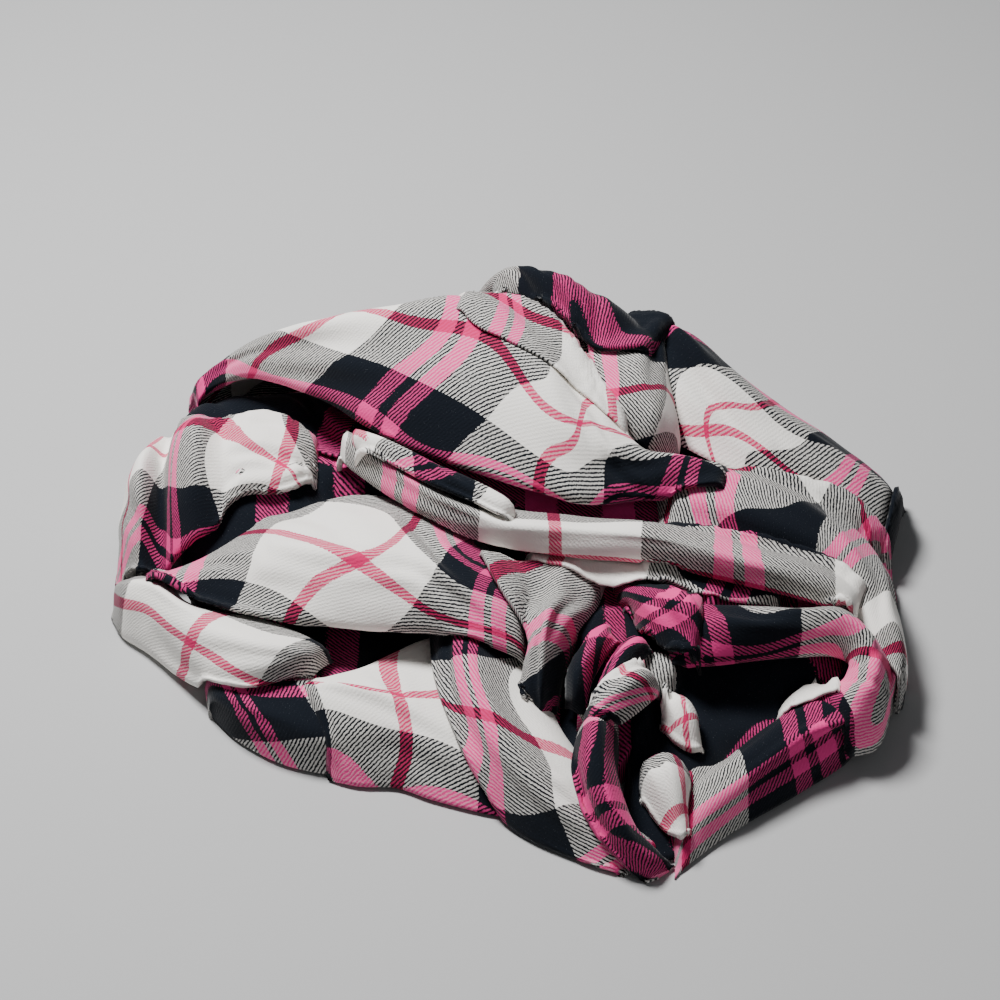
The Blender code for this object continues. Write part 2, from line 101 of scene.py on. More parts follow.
PIECES = [
    # a sheet of the inner cloth laid in the hollow under the right front, pinned to the check's black:
    # partly painted shade
    Piece("hollow_lining", "inner_layers", "flannel_black", None, [
        Section((60, -24, 40), (64, -70, 30), (60, -150, 3)),
        Section((78, -24, 46), (76, -72, 30), (78, -170, 2)),
        Section((96, -25, 50), (94, -76, 26), (95, -160, 3)),
        Section((126, -28, 50), (124, -78, 22), (122, -118, 3)),
        Section((156, -30, 46), (154, -84, 18), (150, -112, 3)),
        Section((182, -46, 36), (184, -88, 18), (182, -100, 3)),
    ], []),
    Piece("right_front_hem", "right_front_hem", "flannel_rose", None, [
        Section((84, -138, 6), (84, -156, 13), (84, -181, 2)),
        Section((96, -122, 8), (95, -146, 20), (95, -171, 2)),
        Section((108, -116, 12), (110, -138, 27), (113, -155, 2)),
        Section((123, -104, 18), (126, -128, 31), (131, -142, 2)),
        Section((142, -90, 22), (144, -116, 34), (154, -127, 2)),
        Section((160, -78, 26), (162, -108, 36), (176, -111, 2)),
        Section((178, -66, 26), (180, -102, 35), (193, -93, 2)),
        Section((190, -30, 20), (198, -88, 33), (207, -74, 2)),
        Section((200, -14, 22), (208, -60, 30), (216, -52, 2)),
    ], [
        Crease((0.10, 0.52), (0.60, 0.40), 2.4, 7, 3), Crease((0.35, 0.78), (0.80, 0.72), 1.8, 6, -2),
        Crease((0.55, 0.30), (0.75, 0.56), 2.0, 6, 1),
    ]),
    Piece("left_side_hem", "left_front_hem", "flannel_grey", None, [
        Section((-163, -60, 22), (-160, -74, 18), (-160, -74, 2)),
        Section((-147, -68, 28), (-143, -88, 26), (-141, -93, 2)),
        Section((-129, -68, 30), (-121, -99, 28), (-117, -108, 2)),
        Section((-109, -68, 32), (-99, -105, 27), (-95, -115, 2)),
        Section((-92, -70, 28), (-85, -102, 20), (-80, -112, 2)),
    ], [
        Crease((0.2, 0.5), (0.6, 0.6), 1.6, 5, 2),
    ]),
    Piece("left_front_hem", "left_front_hem", "flannel_cream", None, [
        Section((-112, -76, 30), (-104, -90, 33), (-93, -118, 2)),
        Section((-98, -68, 30), (-92, -88, 37), (-77, -123, 2)),
        Section((-74, -58, 30), (-66, -88, 35), (-57, -124, 2)),
        Section((-46, -40, 30), (-44, -90, 32), (-38, -132, 2)),
        Section((-26, -36, 30), (-22, -98, 30), (-14, -140, 2)),
        Section((2, -50, 30), (4, -112, 25), (12, -147, 2)),
    ], [
        Crease((0.12, 0.34), (0.70, 0.62), -2.4, 5, 3), Crease((0.25, 0.82), (0.70, 0.86), 1.4, 6, -2),
        Crease((0.40, 0.20), (0.52, 0.50), 1.8, 4, 0), Crease((0.10, 0.60), (0.22, 0.98), 1.2, 2.5, 0),
    ]),
    Piece("back_tail", "back_tail", "flannel_grey", None, [
        Section((-60, 196, 2), (-58, 150, 90), (-56, 100, 90)),
        Section((-18, 200, 2), (-16, 156, 98), (-14, 96, 98)),
        Section((28, 198, 2), (26, 154, 94), (22, 92, 94)),
        Section((70, 192, 2), (62, 146, 82), (54, 86, 84)),
        Section((104, 180, 2), (92, 132, 66), (80, 78, 68)),
    ], [
        Crease((0.20, 0.40), (0.35, 0.90), 3.6, 9, 3), Crease((0.50, 0.30), (0.60, 0.85), -2.6, 9, -3),
        Crease((0.80, 0.40), (0.70, 0.90), 3.6, 8, 2),
    ]),
    Piece("left_front_edge", "left_front_edge", "flannel_grey", Roll(8, 10), [
        Section((10, -26, 34), (-22, -26, 44), (-42, -26, 34)),
        Section((20, -62, 30), (-22, -60, 50), (-40, -62, 34)),
        Section((30, -96, 24), (-14, -94, 48), (-33, -94, 26)),
        Section((42, -120, 22), (2, -122, 42), (-18, -126, 14)),
        Section((54, -138, 18), (22, -144, 31), (4, -151, 4)),
        Section((66, -152, 14), (44, -160, 20), (34, -170, 3)),
        Section((78, -164, 6), (66, -173, 10), (60, -180, 3)),
    ], [
        Crease((0.15, 0.25), (0.60, 0.35), 3.0, 7, 3), Crease((0.30, 0.72), (0.80, 0.66), -2.0, 5, -3),
        Crease((0.45, 0.50), (0.90, 0.45), 1.6, 5, 2), Crease((0.05, 0.60), (0.35, 0.85), 2.0, 4, 1),
    ]),
    Piece("left_sleeve_under", "left_sleeve_under", "flannel_cream", Roll(7, 12), [
        Section((-210, 24, 8), (-220, 10, 16), (-221, -4, 6)),
        Section((-200, 16, 16), (-211, -4, 32), (-212, -18, 6)),
        Section((-186, 4, 24), (-194, -16, 42), (-198, -30, 8)),
        Section((-172, -14, 28), (-177, -34, 46), (-181, -48, 10)),
        Section((-150, -24, 32), (-158, -50, 49), (-164, -66, 18)),
        Section((-131, -32, 36), (-141, -62, 52), (-146, -78, 27)),
        Section((-116, -40, 38), (-127, -68, 51), (-131, -81, 32)),
        Section((-103, -48, 38), (-112, -68, 48), (-118, -77, 34)),
        Section((-92, -54, 36), (-100, -66, 42), (-106, -72, 32)),
    ], [
        Crease((0.15, 0.58), (0.52, 0.46), 1.8, 6, 3), Crease((0.50, 0.78), (0.85, 0.62), 1.8, 5, -2),
        Crease((0.30, 0.90), (0.60, 0.94), 1.4, 4, 1),
    ]),
    # a sheet of the inner cloth in the hollow under the back's lip by the left shoulder, pinned to the
    # check's black: partly painted shade
    Piece("shoulder_lining", "inner_layers", "flannel_black", None, [
        Section((-198, 146, 10), (-194, 128, 34), (-196, 96, 24)),
        Section((-176, 158, 14), (-172, 130, 46), (-172, 94, 28)),
        Section((-140, 164, 20), (-136, 124, 52), (-138, 92, 30)),
        Section((-108, 164, 24), (-106, 112, 54), (-106, 82, 34)),
        Section((-84, 156, 30), (-82, 98, 56), (-82, 72, 42)),
    ], [Crease((0.2, 0.3), (0.5, 0.8), 3.0, 6, 2), Crease((0.6, 0.3), (0.8, 0.7), 3.0, 5, 1)]),
    Piece("left_shoulder", "left_shoulder", "flannel_grey", Roll(8, 14), [
        Section((-214, 90, 2), (-223, 58, 13), (-222, 24, 4)),
        Section((-213, 106, 14), (-215, 60, 44), (-214, 18, 10)),
        Section((-205, 120, 28), (-206, 66, 58), (-204, 16, 18)),
        Section((-197, 122, 30), (-196, 72, 44), (-194, 20, 16)),
        Section((-190, 124, 42), (-189, 78, 62), (-185, 24, 28)),
        Section((-178, 120, 46), (-176, 78, 74), (-173, 26, 40)),
        Section((-168, 116, 44), (-165, 78, 66), (-161, 32, 42)),
        Section((-160, 110, 42), (-158, 76, 63), (-156, 40, 42)),
        Section((-148, 108, 46), (-147, 78, 66), (-148, 45, 46)),
        Section((-134, 108, 50), (-134, 82, 66), (-133, 45, 44)),
        Section((-122, 106, 48), (-122, 82, 66), (-122, 48, 44)),
        Section((-112, 100, 42), (-113, 78, 56), (-114, 54, 40)),
        Section((-106, 92, 34), (-107, 74, 44), (-108, 60, 34)),
    ], [
        Crease((0.62, 0.62), (0.92, 0.78), 2.4, 4, 2), Crease((0.60, 0.90), (0.92, 0.84), -2.4, 5, 2),
        Crease((0.05, 0.50), (0.20, 0.90), 2.0, 5, 1), Crease((0.70, 0.30), (0.85, 0.50), 0.8, 5, 1),
    ]),
    Piece("left_sleeve_upper", "left_sleeve_upper", "flannel_cream", Roll(9, 16), [
        Section((-200, 12, 22), (-198, -2, 30), (-196, -10, 22)),
        Section((-168, 16, 34), (-166, -6, 45), (-166, -28, 32)),
        Section((-149, 26, 42), (-143, -8, 57), (-141, -40, 40)),
        Section((-134, 36, 46), (-125, -10, 66), (-121, -45, 46)),
        Section((-112, 42, 50), (-105, -16, 72), (-99, -50, 51)),
        Section((-88, 48, 52), (-79, -24, 77), (-77, -55, 53)),
        Section((-60, 42, 54), (-52, -28, 77), (-56, -57, 53)),
        Section((-32, 22, 56), (-28, -38, 74), (-35, -60, 53)),
        Section((-6, 2, 54), (-6, -48, 67), (-8, -67, 51)),
        Section((12, -20, 46), (11, -58, 56), (12, -72, 45)),
    ], [
        Crease((0.34, 0.50), (0.62, 0.52), -3.0, 6, 3), Crease((0.60, 0.54), (0.86, 0.80), 2.6, 5, -3),
        Crease((0.18, 0.66), (0.46, 0.82), 2.2, 7, 4), Crease((0.68, 0.22), (0.80, 0.48), 3.0, 5, 2),
        Crease((0.40, 0.14), (0.54, 0.40), 2.4, 7, -3), Crease((0.10, 0.40), (0.26, 0.60), 2.0, 5, 2),
        Crease((0.50, 0.70), (0.72, 0.66), -1.4, 5, 1),
    ]),
    Piece("left_front_middle", "left_front_middle", "flannel_black", Roll(3, 3), [
        Section((58, 6, 46), (28, -4, 56), (-14, -12, 50)),
        Section((56, -8, 50), (27, -14, 61), (-11, -22, 54)),
        Section((50, -32, 48), (25, -38, 60), (-3, -44, 53)),
        Section((40, -50, 46), (23, -60, 67), (11, -66, 56)),
        Section((34, -66, 42), (20, -78, 58), (8, -80, 48)),
        Section((29, -82, 32), (18, -93, 46), (7, -88, 36)),
        Section((26, -90, 24), (19, -98, 33), (12, -93, 24)),
    ], [
        Crease((0.10, 0.50), (0.40, 0.62), 2.4, 5, 1), Crease((0.35, 0.20), (0.60, 0.42), 2.6, 5, 2),
        Crease((0.50, 0.72), (0.90, 0.60), 2.0, 4, 0),
    ]),
    Piece("left_sleeve_strip", "left_sleeve_end", "flannel_black", Roll(4, 4), [
        Section((31, -89, 38), (35, -97, 45), (41, -98, 34)),
        Section((32, -77, 43), (37, -87, 52), (44, -86, 42)),
        Section((37, -65, 45), (42, -77, 55), (49, -76, 44)),
        Section((45, -54, 45), (48, -65, 54), (55, -66, 44)),
        Section((57, -46, 42), (58, -54, 49), (62, -56, 40)),
    ], []),
    Piece("left_sleeve_strap", "left_sleeve_end", "flannel_black", Roll(4, 4), [
        Section((43, -99, 42), (47, -107, 49), (52, -106, 42)),
        Section((48, -86, 47), (52, -97, 56), (58, -97, 46)),
        Section((54, -73, 49), (59, -83, 58), (65, -84, 47)),
        Section((62, -62, 49), (66, -72, 57), (72, -73, 46)),
        Section((72, -54, 44), (74, -60, 50), (78, -62, 42)),
    ], []),
    Piece("left_sleeve_end", "left_sleeve_end", "flannel_pink", Roll(7, 7), [
        Section((58, -98, 36), (47, -108, 48), (38, -109, 37)),
        Section((58, -116, 36), (46, -126, 55), (35, -124, 34)),
        Section((57, -134, 34), (45, -144, 52), (34, -140, 27)),
        Section((61, -151, 28), (48, -160, 44), (38, -156, 19)),
        Section((67, -163, 20), (56, -171, 33), (46, -168, 11)),
        Section((77, -170, 12), (66, -178, 21), (58, -178, 6)),
        Section((86, -174, 5), (76, -182, 10), (70, -184, 3)),
    ], [Crease((0.1, 0.45), (0.7, 0.55), 1.6, 3.5, 1), Crease((0.3, 0.85), (0.7, 0.8), 1.5, 3, 0)]),
    Piece("left_sleeve_knot", "left_sleeve_end", "flannel_pink", Roll(5, 5), [
        Section((39, -107, 42), (43, -119, 50), (50, -119, 42)),
        Section((45, -99, 48), (50, -114, 61), (59, -117, 48)),
        Section((54, -91, 51), (60, -107, 65), (68, -110, 49)),
        Section((64, -83, 51), (69, -97, 63), (76, -100, 47)),
        Section((72, -78, 44), (76, -87, 51), (81, -88, 40)),
    ], [Crease((0.15, 0.6), (0.6, 0.75), 1.5, 3, 1)]),
    Piece("bunched_corner", "left_sleeve_end", "flannel_cream", Roll(3, 3), [
        Section((82, -84, 30), (81, -93, 33), (81, -104, 22)),
        Section((88, -84, 34), (87, -97, 41), (88, -112, 23)),
        Section((96, -90, 36), (94, -103, 42), (96, -116, 21)),
        Section((102, -98, 30), (101, -108, 34), (103, -114, 16)),
    ], [Crease((0.2, 0.3), (0.7, 0.8), 2.0, 3, 1)]),
    Piece("bunched_edge", "left_sleeve_end", "flannel_cream", Roll(3, 3), [
        Section((69, -125, 20), (68, -134, 23), (69, -142, 13)),
        Section((75, -122, 28), (73, -138, 33), (75, -152, 14)),
        Section((83, -121, 32), (81, -140, 38), (82, -161, 12)),
        Section((90, -124, 30), (88, -143, 34), (88, -166, 9)),
        Section((95, -131, 22), (93, -146, 25), (93, -162, 7)),
    ], [Crease((0.3, 0.2), (0.55, 0.75), 2.0, 3.5, 1)]),
    Piece("right_sleeve", "right_sleeve", "flannel_cream", None, [
        Section((62, 184, 2), (68, 146, 94), (66, 90, 76)),
        Section((98, 180, 2), (99, 132, 103), (94, 72, 68)),
        Section((138, 166, 2), (126, 112, 90), (126, 56, 60)),
        Section((174, 144, 2), (152, 96, 74), (154, 42, 52)),
        Section((204, 118, 2), (182, 80, 61), (182, 36, 42)),
        Section((222, 100, 2), (206, 69, 49), (202, 32, 30)),
        Section((232, 88, 4), (222, 62, 36), (214, 34, 20)),
    ], [
        Crease((0.12, 0.62), (0.42, 0.80), 3.0, 7, 4), Crease((0.32, 0.62), (0.82, 0.58), -2.2, 7, -4),
        Crease((0.50, 0.80), (0.85, 0.84), 2.4, 6, 3), Crease((0.08, 0.42), (0.30, 0.52), 2.5, 7, 2),
        Crease((0.60, 0.25), (0.90, 0.35), 2.0, 7, -2), Crease((0.20, 0.20), (0.45, 0.12), 2.6, 8, 3),
    ]),
    Piece("right_cuff", "right_cuff", "flannel_black", None, [
        Section((229, 92, 2), (221, 65, 37), (212, 33, 24)),
        Section((233, 88, 2), (226, 63, 33), (216, 32, 19)),
        Section((235, 84, 0), (228, 61, 22), (218, 31, 9)),
    ], []),
    Piece("yoke", "yoke", "flannel_grey", Roll(6, 8), [
        Section((90, 130, 88), (76, 124, 104), (46, 130, 104)),
        Section((93, 108, 90), (77, 100, 108), (48, 104, 104)),
        Section((96, 88, 88), (79, 80, 107), (49, 86, 102)),
        Section((98, 70, 83), (80, 64, 101), (53, 68, 97)),
        Section((95, 58, 76), (81, 52, 88), (62, 56, 85)),
    ], [
        Crease((0.20, 0.30), (0.70, 0.50), 2.0, 6, 2), Crease((0.40, 0.72), (0.90, 0.60), 1.6, 5, -1),
    ]),
    Piece("right_front_side", "right_front_side", "flannel_grey", Roll(8, 12), [
        Section((80, 46, 52), (82, 28, 56), (84, 6, 50)),
        Section((94, 50, 66), (94, 30, 75), (92, 4, 62)),
        Section((114, 54, 66), (112, 30, 80), (110, 0, 62)),
        Section((144, 56, 58), (138, 24, 78), (136, -10, 56)),
        Section((194, 50, 26), (174, 8, 67), (166, -18, 50)),
        Section((218, 32, 2), (199, -14, 54), (184, -34, 42)),
        Section((220, 0, 2), (206, -34, 46), (194, -52, 38)),
        Section((220, -28, 2), (211, -52, 38), (202, -66, 32)),
        Section((219, -50, 2), (214, -66, 26), (208, -78, 20)),
    ], [
        Crease((0.15, 0.42), (0.50, 0.60), 3.0, 7, 3), Crease((0.50, 0.30), (0.74, 0.70), 2.4, 7, -2),
        Crease((0.30, 0.86), (0.55, 0.82), 2.0, 5, 1), Crease((0.12, 0.70), (0.40, 0.78), -1.8, 5, 1),
    ]),
    Piece("right_front_roll", "right_front_roll", "flannel_pink", Roll(9, 8), [
        Section((84, -34, 48), (86, -56, 56), (86, -72, 42)),
        Section((98, -38, 52), (99, -60, 63), (98, -75, 47)),
        Section((114, -41, 55), (112, -64, 68), (112, -76, 49)),
        Section((136, -44, 56), (133, -66, 70), (134, -74, 52)),
        Section((158, -46, 56), (154, -62, 70), (155, -72, 52)),
        Section((178, -42, 56), (174, -60, 66), (172, -70, 50)),
        Section((194, -50, 46), (188, -68, 60), (179, -72, 46)),
        Section((204, -66, 36), (192, -79, 55), (179, -77, 42)),
        Section((202, -88, 30), (190, -90, 51), (176, -81, 38)),
        Section((194, -106, 26), (182, -98, 47), (170, -84, 35)),
        Section((178, -112, 24), (172, -102, 38), (164, -90, 30)),
    ], [
        Crease((0.2, 0.3), (0.45, 0.6), 2.0, 5, 2), Crease((0.45, 0.5), (0.66, 0.4), -1.6, 4, 1),
        Crease((0.66, 0.35), (0.72, 0.85), 2.0, 4, 0), Crease((0.8, 0.3), (0.84, 0.8), 1.6, 3.5, 0),
    ]),
    Piece("right_front_knot", "right_front_roll", "flannel_pink", Roll(4, 4), [
        Section((57, -14, 44), (60, -28, 50), (66, -34, 40)),
        Section((70, -20, 50), (72, -42, 63), (72, -55, 47)),
        Section((84, -27, 55), (84, -52, 71), (80, -66, 50)),
        Section((97, -32, 55), (96, -58, 73), (92, -75, 50)),
        Section((105, -37, 53), (104, -62, 67), (101, -76, 46)),
    ], [Crease((0.2, 0.4), (0.75, 0.85), 2.0, 4, 2), Crease((0.5, 0.15), (0.8, 0.5), -1.8, 4, 1)]),
    Piece("right_front_tongue", "right_front_roll", "flannel_cream", None, [
        Section((176, -81, 31), (176, -87, 34), (175, -92, 30)),
        Section((163, -76, 33), (163, -84, 35), (162, -90, 29)),
        Section((152, -79, 29), (152, -86, 31), (151, -91, 24)),
        Section((142, -84, 20), (142, -89, 21), (143, -93, 14)),
    ], [Crease((0.2, 0.4), (0.8, 0.6), 1.5, 4, 1)]),
    Piece("right_front_under", "right_front_fold", "flannel_cream", None, [
        Section((8, 2, 52), (10, -4, 56), (10, -12, 50)),
        Section((24, 0, 54), (23, -9, 58), (23, -17, 53)),
        Section((50, -4, 56), (50, -15, 59), (50, -26, 54)),
        Section((76, -8, 56), (76, -20, 59), (76, -31, 54)),
        Section((102, -14, 54), (101, -26, 58), (100, -34, 54)),
        Section((126, -20, 52), (125, -31, 56), (124, -38, 52)),
        Section((148, -24, 56), (148, -32, 56), (147, -38, 50)),
    ], [Crease((0.2, 0.6), (0.6, 0.7), 1.5, 5, 1)]),
    Piece("right_front_fold", "right_front_fold", "flannel_cream", Roll(3, 4), [
        Section((-92, 92, 60), (-94, 78, 70), (-95, 70, 60)),
        Section((-84, 76, 70), (-84, 58, 80), (-86, 52, 66)),
        Section((-58, 52, 74), (-60, 31, 84), (-62, 27, 68)),
        Section((-34, 32, 74), (-35, 8, 84), (-37, 6, 68)),
        Section((-8, 22, 72), (-9, -6, 83), (-10, -8, 68)),
        Section((18, 16, 70), (18, -11, 82), (18, -14, 67)),
        Section((50, 14, 66), (50, -14, 81), (50, -18, 66)),
        Section((76, 12, 66), (74, -17, 81), (74, -20, 65)),
        Section((104, 6, 64), (102, -22, 80), (102, -27, 64)),
        Section((134, 0, 60), (132, -30, 78), (133, -35, 62)),
        Section((162, -6, 56), (156, -34, 73), (156, -40, 59)),
        Section((182, -14, 50), (172, -37, 67), (172, -43, 55)),
        Section((196, -26, 42), (187, -43, 57), (184, -49, 46)),
    ], [
        Crease((0.12, 0.75), (0.35, 0.55), 2.0, 5, 2), Crease((0.42, 0.7), (0.72, 0.6), 1.8, 6, -2),
        Crease((0.62, 0.35), (0.9, 0.6), 2.2, 5, 2), Crease((0.5, 0.3), (0.7, 0.2), -1.5, 6, 1),
    ]),
    Piece("placket", "placket", "flannel_grey", Roll(3, 3), [
        Section((-88, 72, 82), (-86, 58, 87), (-82, 50, 80)),
        Section((-68, 56, 86), (-66, 42, 96), (-64, 34, 84)),
        Section((-51, 42, 86), (-49, 29, 96), (-49, 22, 84)),
        Section((-36, 32, 85), (-34, 19, 95), (-35, 13, 83)),
        Section((-20, 22, 84), (-18, 10, 94), (-20, 5, 83)),
        Section((-5, 14, 82), (-4, 1, 93), (-6, -4, 82)),
        Section((6, 6, 81), (6, -2, 90), (4, -7, 83)),
    ], [Crease((0.1, 0.5), (0.5, 0.6), 2.2, 3.5, 1), Crease((0.5, 0.4), (0.9, 0.55), 2.0, 3, 1)]),
    Piece("back", "back", "flannel_cream", Roll(9, 16), [
        Section((-193, 152, 24), (-187, 143, 46), (-184, 136, 43)),
        Section((-178, 172, 16), (-170, 147, 61), (-168, 136, 56)),
        Section((-152, 188, 2), (-144, 139, 86), (-147, 123, 74)),
        Section((-104, 196, 2), (-100, 126, 114), (-105, 93, 86)),
        Section((-62, 197, 4), (-60, 122, 125), (-60, 53, 89)),
        Section((-20, 164, 100), (-22, 118, 130), (-14, 29, 88)),
        Section((22, 128, 116), (16, 86, 123), (28, 14, 85)),
        Section((46, 92, 108), (42, 58, 109), (50, 12, 80)),
        Section((62, 62, 98), (58, 42, 100), (66, 16, 78)),
        Section((76, 46, 90), (74, 36, 93), (80, 18, 77)),
        Section((92, 44, 84), (92, 36, 90), (94, 20, 76)),
        Section((108, 42, 80), (110, 34, 86), (109, 22, 75)),
        Section((120, 38, 74), (122, 32, 76), (120, 24, 70)),
    ], [
        Crease((0.12, 0.70), (0.40, 0.60), 2.6, 9, 6), Crease((0.30, 0.32), (0.60, 0.46), 2.6, 12, -8),
        Crease((0.48, 0.88), (0.78, 0.66), 2.6, 8, 5), Crease((0.22, 0.92), (0.36, 0.78), 2.0, 5, 2),
        Crease((0.55, 0.62), (0.72, 0.95), 2.4, 7, 3), Crease((0.06, 0.42), (0.20, 0.60), 2.0, 7, 2),
        Crease((0.42, 0.70), (0.60, 0.60), -1.8, 9, -4), Crease((0.10, 0.20), (0.34, 0.14), 3.0, 10, 5),
    ]),
    Piece("back_yoke", "back", "flannel_cream", None, [
        Section((-30, 142, 96), (-27, 130, 100), (-29, 116, 100)),
        Section((-10, 142, 96), (-11, 124, 100), (-16, 99, 100)),
        Section((8, 140, 96), (6, 118, 100), (0, 90, 100)),
        Section((26, 134, 96), (22, 112, 100), (13, 83, 96)),
        Section((40, 126, 90), (34, 104, 96), (26, 76, 92)),
        Section((48, 104, 88), (44, 88, 90), (40, 66, 88)),
        Section((54, 78, 82), (53, 70, 84), (53, 56, 82)),
        Section((68, 58, 76), (68, 54, 78), (68, 46, 76)),
    ], [
        Crease((0.2, 0.3), (0.7, 0.7), 1.6, 6, 2),
    ]),
    Piece("collar", "collar", "flannel_black", Roll(4, 5), [
        Section((-20, 182, 90), (-9, 168, 108), (-8, 158, 105)),
        Section((0, 184, 96), (3, 160, 124), (4, 148, 113)),
        Section((18, 182, 96), (19, 150, 130), (19, 136, 116)),
        Section((36, 177, 94), (34, 140, 130), (31, 124, 114)),
        Section((54, 168, 90), (49, 132, 125), (41, 112, 111)),
        Section((74, 156, 84), (65, 126, 117), (53, 104, 107)),
        Section((90, 143, 76), (79, 118, 105), (68, 102, 101)),
        Section((98, 132, 72), (88, 114, 94), (80, 103, 93)),
    ], [
        Crease((0.28, 0.35), (0.45, 1.0), 2.6, 4.5, 2), Crease((0.42, 0.4), (0.58, 1.0), -2.6, 4.5, 2),
        Crease((0.55, 0.35), (0.70, 1.0), 2.6, 4.5, 1), Crease((0.12, 0.5), (0.25, 0.95), 1.8, 4, 0),
    ]),
]


